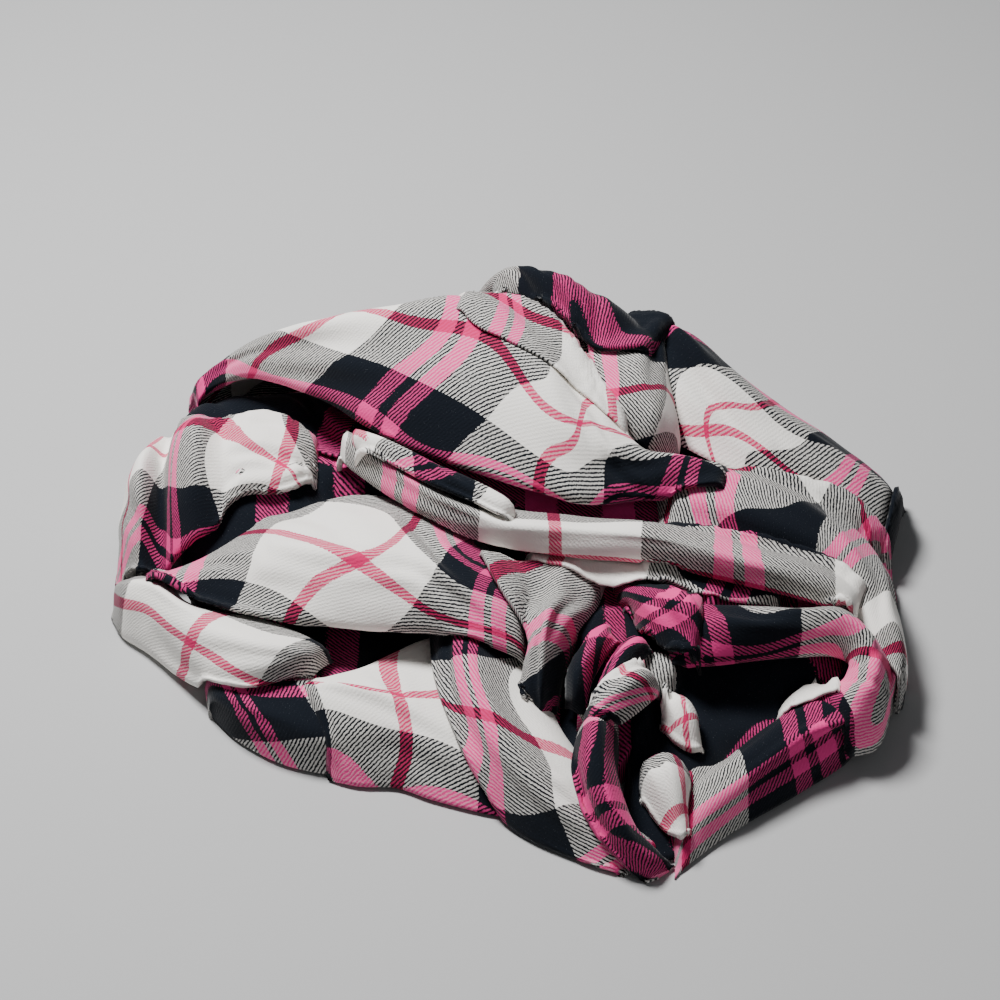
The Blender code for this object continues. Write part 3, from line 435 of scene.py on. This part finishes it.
# Where the check falls on each piece: Pin rows.
CHECK = {
    "back": [
        (-27, 98, 0, -.5), (42, 43, 0, 0), (-90, 127, 0, -1), (-69, 63, .45, -.5),
        (-51, 74, .25, -.5), (-87, 101, .25, -.75), (-119, 122, .25, -1), (-147, 124, .45, -1),
        (-111, 98, .45, -.75), (-10, 49, .25, -.25), (-31, 37, .45, -.25), (11, 65, 0, -.25),
        (20, 28, .25, 0), (51, 31, .25, .25), (71, 39, .1, .25), (-174, 138, .5, -1.4),
        (74, 31, .29, .38), (21, 15, .46, .02), (54, 15, .46, .26), (78, 20, .46, .4),
        (97, 34, .29, .5),
    ],
    "right_front_side": [
        (110, 20, .15, .5), (113, 34, .08, .5), (128, 9, .25, .6), (140, 35, .1, .6),
        (155, 17, .25, .66), (189, 14, .47, .85), (195, -8, .57, .88), (192, -37, .78, .86),
        (199, -54, .95, .7),
    ],
    "right_front_fold": [
        (25, -13, .17, 0), (25, -15, .08, 0), (72, -3, .24, .25), (72, -19, .08, .25),
        (125, -1, .25, .5), (123, -31, .06, .5), (-14, -5, .2, -.25), (174, -38, .1, .75),
        (144, -5, .27, .62), (-58, 32, .15, -.5),
    ],
    "yoke": [
        (90, 85, 0, .25), (88, 104, -.25, .27), (74, 54, .25, .3), (54, 73, 0, .5),
        (52, 107, -.2, .5), (59, 61, .15, .47), (74, 75, 0, .36),
    ],
    "collar": [
        (-6, 167, .3, .12), (8, 155, .3, .25), (22, 142, .38, .4), (39, 132, .44, .5),
        (51, 122, .4, .42), (57, 118, .46, .5), (76, 129, .38, .36), (98, 132, .45, .44),
    ],
    "right_sleeve": [
        (111, 74, 0, 0), (142, 87, -.25, 0), (116, 103, -.25, -.25), (144, 65, 0, .25),
        (170, 75, -.25, .25), (174, 51, 0, .45), (199, 71, -.25, .5), (183, 51, 0, .5),
        (103, 70, .05, -.25), (104, 115, -.36, -.36),
    ],
    "right_cuff": [
        (224, 75, .34, .34), (225, 64, .38, .36), (214, 39, .36, .34),
    ],
    "left_shoulder": [
        (-126, 57, 0, 0), (-131, 47, .17, 0), (-154, 92, 0, -.2), (-175, 83, 0, -.38),
        (-164, 44, .25, -.25), (-154, 57, .13, -.1), (-186, 52, .25, -.44), (-197, 63, .25, -.7),
        (-207, 85, .02, -1), (-214, 56, .25, -1), (-217, 35, .42, -1), (-179, 24, .46, -.4),
        (-182, 65, .1, -.41), (-137, 69, 0, -.08), (-135, 96, -.2, -.06), (-151, 44, .38, -.16),
        (-126, 46, .3, .05),
    ],
    "left_sleeve_upper": [
        (-78, -30, 0, 0), (-46, -49, 0, .25), (-35, -56, 0, .33), (-3, -64, 0, .55),
        (-110, -41, .25, 0), (-55, -6, -.25, 0), (-140, -22, .25, -.25), (-131, 10, 0, -.25),
        (-159, -5, .22, -.4), (-184, -17, .3, -.5), (-58, -55, .08, .25), (-85, -52, .18, .13),
        (-29, -39, -.32, .34), (-36, -34, -.25, .25),
    ],
    "left_sleeve_under": [
        (-168, -53, 0, 0), (-207, -15, 0, -.24), (-130, -80, 0, .25), (-112, -62, -.22, .25),
        (-161, -47, -.13, 0), (-173, -53, .12, 0), (-212, -17, .1, -.25), (-219, 2, 0, -.32),
    ],
    "left_side_hem": [
        (-138, -89, .62, .5), (-126, -102, .74, .5), (-107, -108, .75, .66), (-99, -93, .64, .75),
        (-153, -80, .62, .36),
    ],
    "left_front_hem": [
        (-59, -89, 0, 0), (-32, -83, 0, .15), (-82, -84, 0, -.15), (-89, -97, .25, -.22),
        (-52, -104, .25, 0), (-26, -116, .25, .17), (-14, -136, .45, .25), (-57, -123, .42, 0),
        (-98, -93, .22, -.27), (-57, -52, -.2, .02), (-84, -117, .45, -.18),
    ],
    "left_front_edge": [
        (5, -87, -.12, .2), (15, -115, -.03, .24), (30, -142, .15, .2), (27, -88, -.2, .3),
        (-14, -109, 0, .5), (-19, -85, -.2, .5), (-9, -130, .17, .5), (-3, -143, .25, .45),
        (28, -154, .25, .25), (20, -128, .05, .25), (-29, -77, -.2, .6), (11, -119, 0, .3),
        (40, -170, .45, .22), (-27, -96, 0, .6),
    ],
    "left_front_middle": [
        (29, -26, .3, .05), (0, -50, .36, .05), (21, -65, .48, .1), (20, -73, .56, .12),
        (18, -81, .64, .2), (18, -93, .68, .35),
    ],
    "left_sleeve_end": [
        (49, -120, .25, .5), (47, -137, .33, .5), (46, -161, .5, .5), (53, -169, .55, .5),
        (67, -179, .66, .47), (37, -134, .33, .44), (54, -131, .33, .56),
    ],
    "right_front_knot": [
        (85, -58, .5, .5), (72, -52, .42, .5), (98, -40, .58, .5), (98, -69, .48, .6),
        (71, -37, .55, .36),
    ],
    "right_front_roll": [
        (105, -73, .46, .5), (154, -67, .44, .25), (116, -46, .3, .4), (128, -62, .25, .37),
        (153, -60, .3, .25), (185, -75, .5, 0), (178, -78, .45, -.12), (191, -95, .58, -.12),
        (180, -100, .5, -.22),
    ],
    "right_front_tongue": [
        (154, -88, .12, .12), (145, -85, .12, .16),
    ],
    "right_front_hem": [
        (108, -152, .5, .12), (124, -140, .5, .25), (138, -128, .5, .38), (158, -116, .5, .5),
        (180, -103, .5, .63), (197, -92, .5, .75), (99, -146, .42, .05), (142, -134, .62, .38),
    ],
    "back_yoke": [
        (3, 128, 0, .5), (-28, 141, 0, .2), (34, 112, 0, .78), (19, 93, .13, .62),
        (36, 85, .15, .8), (25, 76, .22, .76), (54, 55, .22, .97), (-3, 92, .2, .5),
    ],
    # all in the check's black, which is partly painted shade in this hollow
    "hollow_lining": [
        (111, -75, .34, .36), (135, -75, .4, .38), (103, -61, .34, .4), (123, -91, .42, .36),
        (96, -95, .3, .3), (156, -79, .4, .42), (90, -119, .4, .36),
    ],
    "bunched_corner": [
        (92, -107, 0, .02), (87, -99, -.1, -.1), (100, -112, .15, .1),
    ],
    "bunched_edge": [
        (78, -154, .05, -.12), (87, -153, 0, -.05), (78, -132, .3, -.1), (87, -136, .3, 0),
        (84, -161, 0, -.1),
    ],
    "left_sleeve_knot": [
        (48, -116, .22, .46), (59, -110, .1, .42), (68, -102, 0, .35), (64, -112, .16, .54),
    ],
    "left_sleeve_strap": [
        (55, -81, .5, .46), (48, -99, .5, .3), (62, -80, .38, .36), (67, -69, .47, .45),
    ],
    "left_sleeve_strip": [
        (34, -89, .38, .34), (40, -93, .44, .3), (44, -70, .46, .42), (57, -46, .5, .5),
    ],
    "placket": [
        (-66, 44, .1, -.75), (-49, 31, .25, -.55), (-36, 20, .4, -.5), (-60, 33, .1, -.55),
        (-14, 4, .2, -.25), (6, 5, .05, 0),
    ],
    "right_front_under": [
        (28, -12, .15, 0), (75, -20, .15, .25), (99, -22, .3, .38), (120, -26, .3, .5),
    ],
    # all in the check's black, which is partly painted shade in this hollow
    "shoulder_lining": [
        (-151, 134, .35, .35), (-126, 116, .38, .4), (-108, 101, .44, .36),
    ],
}


# ---------------------------------------------------------------- sheets

def profile(section, roll):
    """The points of one section: foot, shoulder, crest, shoulder, lip and what turns under it."""
    far, crest, near = (np.array(p, float) for p in section)
    up = np.array([0.0, 0.0, 1.0])
    far_shoulder = (far + crest) / 2 + up * FULLNESS_FAR * abs(crest[2] - far[2])
    near_shoulder = crest + (near - crest) * NEAR_SHOULDER + up * FULLNESS_NEAR * abs(crest[2] - near[2])
    points = [far, far_shoulder, crest, near_shoulder, near]
    if roll:
        back = (crest - near) * (1, 1, 0)
        back /= max(np.linalg.norm(back), 1e-6)
        points.append(near + back * roll.back * UNDER_BACK - up * roll.drop * UNDER_DROP)
        points.append(near + back * roll.back - up * roll.drop)
    return points


def catmull(points, at):
    """Catmull-Rom along the first axis of points; at is in spans."""
    spans = len(points) - 1
    i = np.minimum(at.astype(int), spans - 1)
    f = (at - i).reshape(-1, *[1] * (points.ndim - 1))
    padded = np.concatenate([2 * points[:1] - points[1:2], points, 2 * points[-1:] - points[-2:-1]])
    a, b, c, d = (padded[i + k] for k in range(4))
    return 0.5 * (2 * b + (c - a) * f + (2 * a - 5 * b + 4 * c - d) * f ** 2
                  + (3 * b - a - 3 * c + d) * f ** 3)


def steps(points):
    """Places along a track, in spans, about a cell apart."""
    lengths = np.linalg.norm(np.diff(points, axis=0), axis=-1)
    lengths = lengths.reshape(len(lengths), -1).mean(axis=1)
    at = [np.array([0.0])]
    for k, length in enumerate(lengths):
        cells = max(2, round(length / CELL))
        at.append(k + np.arange(1, cells + 1) / cells)
    return np.concatenate(at)


def normals(grid):
    """The unit normal at each point of a grid."""
    across = np.gradient(grid, axis=1)
    along = np.gradient(grid, axis=0)
    n = np.cross(along, across)
    n /= np.maximum(np.linalg.norm(n, axis=-1, keepdims=True), 1e-9)
    return n


heights = np.zeros((int(2 * HEAP_REACH / MAP_STEP),) * 2)


def cells_of(x, y):
    """The cells of the height map that these places fall in."""
    i = np.clip(((x + HEAP_REACH) / MAP_STEP).astype(int), 0, heights.shape[0] - 1)
    j = np.clip(((y + HEAP_REACH) / MAP_STEP).astype(int), 0, heights.shape[1] - 1)
    return i, j


def doubled(grid):
    """The grid with points half way between its own."""
    for axis in (0, 1):
        grid = np.moveaxis(grid, axis, 0)
        out = np.empty((2 * len(grid) - 1, *grid.shape[1:]))
        out[::2] = grid
        out[1::2] = (grid[1:] + grid[:-1]) / 2
        grid = np.moveaxis(out, 0, axis)
    return grid


def pile(grid):
    """Adds a sheet to the map of the heap's height."""
    fine = doubled(grid)
    np.maximum.at(heights, cells_of(fine[..., 0], fine[..., 1]), fine[..., 2])


def ground(x, y):
    """The smoothed height of what is already laid."""
    top = heights
    for axis in (0, 1):
        top = np.maximum.reduce([np.roll(top, k, axis) for k in (-1, 0, 1)])
    for axis in (0, 1):
        top = (np.roll(top, -1, axis) + 2 * top + np.roll(top, 1, axis)) / 4
    return top[cells_of(x, y)]


def soft_max(a, b):
    """The larger of two, blended where they are close."""
    gap = np.abs(a - b)
    return np.maximum(a, b) + np.maximum(SOFTEN - gap, 0.0) ** 2 / (4 * SOFTEN)


def tuck(grid):
    """How far a sheet's two ends and its far edge round over and dip into the heap."""
    drop = np.zeros(grid.shape[:2])
    for axis, sides in ((0, (1, -1)), (1, (1,))):
        run = np.linalg.norm(np.diff(grid, axis=axis), axis=-1)
        run = np.insert(np.cumsum(run, axis=axis), 0, 0.0, axis=axis)
        for side in sides:
            whole = run.max(axis=axis, keepdims=True)
            off = run if side == 1 else whole - run
            radius = np.minimum(TUCK, TUCK_SHARE * whole)
            over = np.clip(1.0 - off / radius, 0.0, 1.0)
            drop = np.maximum(drop, radius * (1.0 - np.sqrt(1.0 - over ** 2) + TUCK_MORE * over ** 4))
    return drop


def crease_depth(creases, u, v, size):
    """How far the creases push the sheet in: soft troughs with a low swell beside them."""
    push = np.zeros_like(u)
    for crease in creases:
        start = np.array(crease.start) * size
        end = np.array(crease.end) * size
        run = end - start
        length = np.linalg.norm(run)
        side = np.array([-run[1], run[0]]) / length
        x = u * size[0] - start[0]
        y = v * size[1] - start[1]
        along = (x * run[0] + y * run[1]) / length ** 2
        inside = np.clip(along, 0.0, 1.0)
        off = x * side[0] + y * side[1] - crease.bow * np.sin(np.pi * inside)
        beyond = (along - inside) * length
        d = np.hypot(off, beyond) / crease.width
        fade = np.sin(np.pi * np.clip(CREASE_START + CREASE_RUN * inside, 0, 1)) ** CREASE_FADE
        shape = np.exp(-d ** 2) - SWELL * np.exp(-(d - SWELL_AT) ** 2 * SWELL_SHARPNESS)
        push += crease.depth * fade * shape
    return push


def rumple(s, t, name):
    """The cloth's small unevenness, in mm, longer along the folds than across."""
    seed = sum(map(ord, name)) * 1.7
    out = np.zeros_like(s)
    for at in np.ndindex(s.shape):
        for k, (height, along, across) in enumerate(RUMPLE):
            out[at] += height * noise.noise((s[at] / along, t[at] / across, seed + RUMPLE_APART * k))
    return out


def mesh_of(bm, name, material=None):
    """A mesh of what bm holds. bm is freed."""
    mesh = bpy.data.meshes.new(name)
    bm.to_mesh(mesh)
    bm.free()
    if material:
        mesh.materials.append(material)
    return mesh


def added(name, data):
    """A new object in the scene, of a mesh, a light or a camera."""
    made = bpy.data.objects.new(name, data)
    bpy.context.scene.collection.objects.link(made)
    return made


def sheet_mesh(name, grid, maps, material):
    """A mesh of a grid of points, with its check and its twill laid along the cloth."""
    n_u, n_v = grid.shape[:2]
    bm = bmesh.new()
    bmesh.ops.create_grid(bm, x_segments=n_u - 1, y_segments=n_v - 1, size=0.5)
    layers = [(bm.loops.layers.uv.new(key), uv) for key, uv in maps.items()]
    place = {}
    for vertex in bm.verts:
        i = round((vertex.co.x + 0.5) * (n_u - 1))
        j = round((vertex.co.y + 0.5) * (n_v - 1))
        place[vertex] = (i, j)
        vertex.co = (grid[i, j] + SHIFT) * MM
    for face in bm.faces:
        face.smooth = True
        for loop in face.loops:
            for layer, uv in layers:
                loop[layer].uv = uv[place[loop.vert]]
    return mesh_of(bm, name, material)


def similarity(flat, check):
    best = None
    for mirror in (1.0, -1.0):
        rows, want = [], []
        for (s, t), (p, q) in zip(flat, check):
            rows += [[s, -t, 1, 0], [mirror * t, mirror * s, 0, 1]]
            want += [p, q]
        fit, *_ = np.linalg.lstsq(np.array(rows, float), np.array(want), rcond=None)
        miss = np.array(rows) @ fit - want
        # of two close fits, the one nearer the cloth's own size
        cost = (miss ** 2).sum() + SIZE_PULL * (np.hypot(fit[0], fit[1]) - 1.0) ** 2
        if best is None or cost < best[0]:
            best = (cost, fit, mirror)
    return best[1:]


def check_places(pins, grid, lip, s, t):
    """The check over a sheet, in repeats: laid flat on it, then eased on to its pins."""
    flat = np.stack([s, t], axis=-1) / REPEAT
    if not pins:
        return {"check": flat, "twill": flat}
    pins = [Pin(*pin) for pin in pins]
    spots = []
    for pin in pins:
        # never on the cloth turned under the lip
        off = np.hypot(grid[:, :lip + 1, 0] - pin.x, grid[:, :lip + 1, 1] - pin.y)
        spots.append(np.unravel_index(np.argmin(off), off.shape))
    at = np.array([flat[k] for k in spots])
    want = np.array([(pin.p, pin.q) for pin in pins])
    (a, b, e, f), mirror = similarity(at, want)

    def laid(places):
        x, y = places[..., 0], places[..., 1]
        return np.stack([a * x - b * y + e, mirror * (a * y + b * x) + f], axis=-1)

    def near(one, other):
        d2 = ((one[..., None, :] - other) ** 2).sum(axis=-1)
        return np.exp(-d2 / (2 * EASE ** 2))

    weights = np.linalg.solve(near(at, at) + PIN_GIVE * np.eye(len(at)), want - laid(at))
    return {"check": laid(flat) + near(flat, at) @ weights, "twill": laid(flat) / np.hypot(a, b)}


def laid_sheet(piece, material):
    """Lofts a piece, lays it on the heap, creases it and makes it a wall of cloth."""
    tracks = np.array([profile(s, piece.roll) for s in piece.sections])
    at_u = steps(tracks[:, 2:3])
    at_v = steps(np.moveaxis(tracks, 1, 0))
    grid = catmull(tracks, at_u)
    grid = np.moveaxis(catmull(np.moveaxis(grid, 1, 0), at_v), 1, 0)
    floor = ground(grid[..., 0], grid[..., 1])
    room = np.where(floor > 0.0, CLOTH + GAP, CLOTH)
    crest = np.searchsorted(at_v, AT_CREST)
    lip = np.searchsorted(at_v, AT_LIP)
    lift = np.where(np.arange(len(at_v)) <= lip, 2 * CLOTH, 0.0) if piece.roll else 0.0
    grid[..., 2] = soft_max(grid[..., 2], floor + room + lift)
    grid[..., 2] -= tuck(grid)

    s = np.concatenate([[0.0], np.cumsum(np.linalg.norm(np.diff(grid[:, crest], axis=0), axis=-1))])
    t = np.cumsum(np.linalg.norm(np.diff(grid, axis=1), axis=-1), axis=1)
    t = np.concatenate([np.zeros((len(t), 1)), t], axis=1)
    t -= t[:, crest:crest + 1]
    s = np.repeat(s[:, None], grid.shape[1], axis=1)

    out = normals(grid)
    if out[..., 2].mean() < 0:
        out = -out
    size = np.array([s.max(), (t[:, lip] - t[:, 0]).mean()])
    u = np.repeat((at_u / at_u[-1])[:, None], len(at_v), axis=1)
    v = np.repeat((at_v / AT_LIP)[None, :], len(at_u), axis=0)
    grid -= out * (crease_depth(piece.creases, u, v, size) + rumple(s, t, piece.name))[..., None]
    grid[..., 2] = np.maximum(grid[..., 2], CLOTH)
    pile(grid)

    maps = check_places(CHECK.get(piece.name, []), grid, lip, s, t)
    mesh = sheet_mesh(piece.name + "_cloth", grid, maps, material)
    cloth = added(piece.name + "_cloth", mesh)
    wall = cloth.modifiers.new("wall", "SOLIDIFY")
    wall.thickness = CLOTH * MM
    wall.offset = -1.0
    if mesh.polygons[len(mesh.polygons) // 2].normal.z < 0:
        mesh.flip_normals()
    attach(cloth, "root")
    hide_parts(piece.node)


# ---------------------------------------------------------------- flannel

CREAM = (0.88, 0.85, 0.80, 1.0)
BLACK = (0.004, 0.006, 0.010, 1.0)
ROSE = (0.58, 0.022, 0.115, 1.0)
PINK = (0.78, 0.050, 0.25, 1.0)
LINT = (0.55, 0.57, 0.62, 1.0)
TWILL_PITCH = 1.8                     # from one diagonal ridge to the next
# The run of colours across one repeat: where each starts, and its colour.
STRIPES = [
    (0.0, ROSE), (0.022, CREAM), (0.252, BLACK), (0.436, PINK), (0.488, BLACK),
    (0.512, PINK), (0.564, BLACK), (0.748, CREAM), (0.978, ROSE),
]


def flannel():
    """Brushed two-and-two twill in a check: cream with a rose line, black with a pair of pinks."""
    made = bpy.data.materials.new("plaid_flannel")
    made.use_nodes = True
    tree = made.node_tree
    nodes, links = tree.nodes, tree.links
    shader = nodes["Principled BSDF"]

    def put(slot, value):
        if isinstance(value, (int, float, tuple)):
            slot.default_value = value
        else:
            links.new(value, slot)

    def math_node(operation, *values):
        n = nodes.new("ShaderNodeMath")
        n.operation = operation
        for slot, value in zip(n.inputs, values):
            put(slot, value)
        return n.outputs[0]

    def mix(a, b, factor, blend="MIX"):
        n = nodes.new("ShaderNodeMix")
        n.data_type = "RGBA"
        n.blend_type = blend
        put(n.inputs["Factor"], factor)
        put(n.inputs["A"], a)
        put(n.inputs["B"], b)
        return n.outputs["Result"]

    def ranged(value, low, high, to_low=0.0, to_high=1.0):
        n = nodes.new("ShaderNodeMapRange")
        for slot, v in zip(n.inputs, (value, low, high, to_low, to_high)):
            put(slot, v)
        return n.outputs[0]

    def map_of(name):
        n = nodes.new("ShaderNodeUVMap")
        n.uv_map = name
        axes = nodes.new("ShaderNodeSeparateXYZ")
        links.new(n.outputs[0], axes.inputs[0])
        return n.outputs[0], axes.outputs[0], axes.outputs[1]

    def mottle(vector, scale, detail=2.0):
        n = nodes.new("ShaderNodeTexNoise")
        put(n.inputs["Vector"], vector)
        put(n.inputs["Scale"], scale)
        put(n.inputs["Detail"], detail)
        return n.outputs["Fac"]

    _, check_p, check_q = map_of("check")
    twill, twill_u, twill_v = map_of("twill")
    fuzz = mottle(twill, 150.0)
    patches = mottle(twill, 9.0)
    strands = mottle(twill, 60.0, 1.0)
    jitter = math_node("MULTIPLY", math_node("SUBTRACT", fuzz, 0.5), 0.012)

    def stripes(coordinate):
        """The colour that one set of yarns has here."""
        ramp = nodes.new("ShaderNodeValToRGB")
        put(ramp.inputs[0], math_node("FRACT", math_node("ADD", coordinate, jitter)))
        ramp.color_ramp.interpolation = "CONSTANT"
        elements = ramp.color_ramp.elements
        while len(elements) < len(STRIPES):
            elements.new(0.5)
        for element, (position, colour) in zip(elements, STRIPES):
            element.position = position
            element.color = colour
        return ramp.outputs[0]

    warp = stripes(check_p)
    weft = stripes(check_q)
    # the twill's diagonal ridges, worn away in patches by the brushing
    ridges = REPEAT / (TWILL_PITCH * math.sqrt(2))
    diagonal = math_node("MULTIPLY", math_node("ADD", twill_u, twill_v), ridges)
    sway = math_node("MULTIPLY", math_node("SUBTRACT", strands, 0.5), 0.55)
    wave = math_node("SINE", math_node("MULTIPLY", math_node("ADD", diagonal, sway), 2 * math.pi))
    rough = math_node("MULTIPLY", math_node("SUBTRACT", fuzz, 0.5), 2.6)
    worn = ranged(patches, 0.35, 0.7, 0.30, 0.85)
    face = ranged(math_node("ADD", wave, rough), math_node("MULTIPLY", worn, -1.0), worn)
    # the darker yarn stands a little prouder, and the pinks most
    darker = mix(warp, weft, 1.0, "DARKEN")
    split = nodes.new("ShaderNodeSeparateColor")
    put(split.inputs[0], darker)
    redness = math_node("SUBTRACT", split.outputs[0], split.outputs[1])
    share = math_node("MULTIPLY_ADD", redness, 0.55, 0.34)
    woven = mix(mix(warp, weft, face), darker, share)
    # pale lint caught on the nap
    lint = ranged(mottle(twill, 420.0, 0.0), 0.80, 0.86, 0.0, 0.22)
    put(shader.inputs["Base Color"], mix(woven, LINT, lint))
    put(shader.inputs["Roughness"], 0.95)
    put(shader.inputs["Specular IOR Level"], 0.12)
    put(shader.inputs["Sheen Weight"], 0.12)
    put(shader.inputs["Sheen Roughness"], 0.4)
    bump = nodes.new("ShaderNodeBump")
    put(bump.inputs["Strength"], 0.55)
    put(bump.inputs["Distance"], 0.0004)
    twill_height = math_node("MULTIPLY", wave, 0.16)
    nap_height = math_node("MULTIPLY", fuzz, 1.3)
    put(bump.inputs["Height"], math_node("ADD", twill_height, nap_height))
    put(shader.inputs["Normal"], bump.outputs[0])
    return made


# ---------------------------------------------------------------- stage

def plain(name, colour):
    """A matt material of one colour."""
    made = bpy.data.materials.new(name)
    made.use_nodes = True
    shader = made.node_tree.nodes["Principled BSDF"]
    shader.inputs["Base Color"].default_value = colour
    shader.inputs["Roughness"].default_value = 0.9
    return made


def studio():
    """A pale floor, soft light from the upper left and the camera."""
    bm = bmesh.new()
    bmesh.ops.create_grid(bm, x_segments=1, y_segments=1, size=6.0)
    floor = added("floor", mesh_of(bm, "floor", plain("floor", (0.45, 0.45, 0.45, 1.0))))

    target = Vector((-0.003, -0.007, 0.06))
    lights = (
        ("key", (-0.46, 0.34, 1.30), 40.0, 0.35),
        ("fill", (0.7, -1.1, 1.2), 1.6, 1.2),
    )
    for name, place, power, size in lights:
        data = bpy.data.lights.new(name, "AREA")
        data.energy = power
        data.size = size
        lamp = added(name, data)
        lamp.location = place
        lamp.rotation_euler = (lamp.location - target).to_track_quat("Z", "Y").to_euler()
    world = bpy.data.worlds.new("studio")
    world.use_nodes = True
    sky = world.node_tree.nodes["Background"]
    sky.inputs["Color"].default_value = (0.9, 0.94, 1.0, 1.0)
    sky.inputs["Strength"].default_value = 0.09
    bpy.context.scene.world = world

    elevation = math.radians(45.0)
    distance = 1.2
    data = bpy.data.cameras.new("camera")
    data.lens = 79.6
    data.sensor_width = 36.0
    data.shift_x = -0.006
    data.shift_y = 0.0419
    camera = added("camera", data)
    back = Vector((0.0, -math.cos(elevation), math.sin(elevation)))
    camera.location = target + back * distance
    camera.rotation_euler = back.to_track_quat("Z", "Y").to_euler()
    bpy.context.scene.camera = camera


def inner_layers(material):
    """The layers inside the heap, that show only as dark folds in its hollows; their check is held to
    its black, which is partly painted shade for those hollows.
    """
    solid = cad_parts["inner_layers"]
    bm = bmesh.new()
    bm.from_mesh(solid.data)
    bmesh.ops.remove_doubles(bm, verts=bm.verts, dist=1e-5)
    bmesh.ops.subdivide_edges(bm, edges=bm.edges, cuts=HIDDEN_CUTS, use_grid_fill=True)
    layers = [bm.loops.layers.uv.new(key) for key in ("check", "twill")]
    for face in bm.faces:
        face.smooth = True
        for loop in face.loops:
            x, y, _ = loop.vert.co
            # the check is held to its black here: the cloth's own check, kept black as partly painted
            # shade in the hollows
            p = SHADE_BLACK_AT[0] + SHADE_BLACK_SWAY[0] * math.sin(x / SHADE_BLACK_WAVE[0])
            q = SHADE_BLACK_AT[1] + SHADE_BLACK_SWAY[1] * math.sin(y / SHADE_BLACK_WAVE[1] + x / SHADE_BLACK_WAVE[2])
            loop[layers[0]].uv = (p, q)
            loop[layers[1]].uv = (x / (REPEAT * MM), y / (REPEAT * MM))
    tops = np.array([v.co for v in bm.verts if v.normal.z > 0.0]) / MM - SHIFT
    np.maximum.at(heights, cells_of(tops[:, 0], tops[:, 1]), tops[:, 2])
    for vert in bm.verts:
        vert.co.z = max(vert.co.z - SINK * MM, 0.0)
    inner = added("inner_layers_cloth", mesh_of(bm, "inner_layers_cloth", material))
    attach(inner, "root")
    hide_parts("inner_layers")


studio()
cloth_material = flannel()
inner_layers(cloth_material)
for each in PIECES:
    laid_sheet(each, cloth_material)
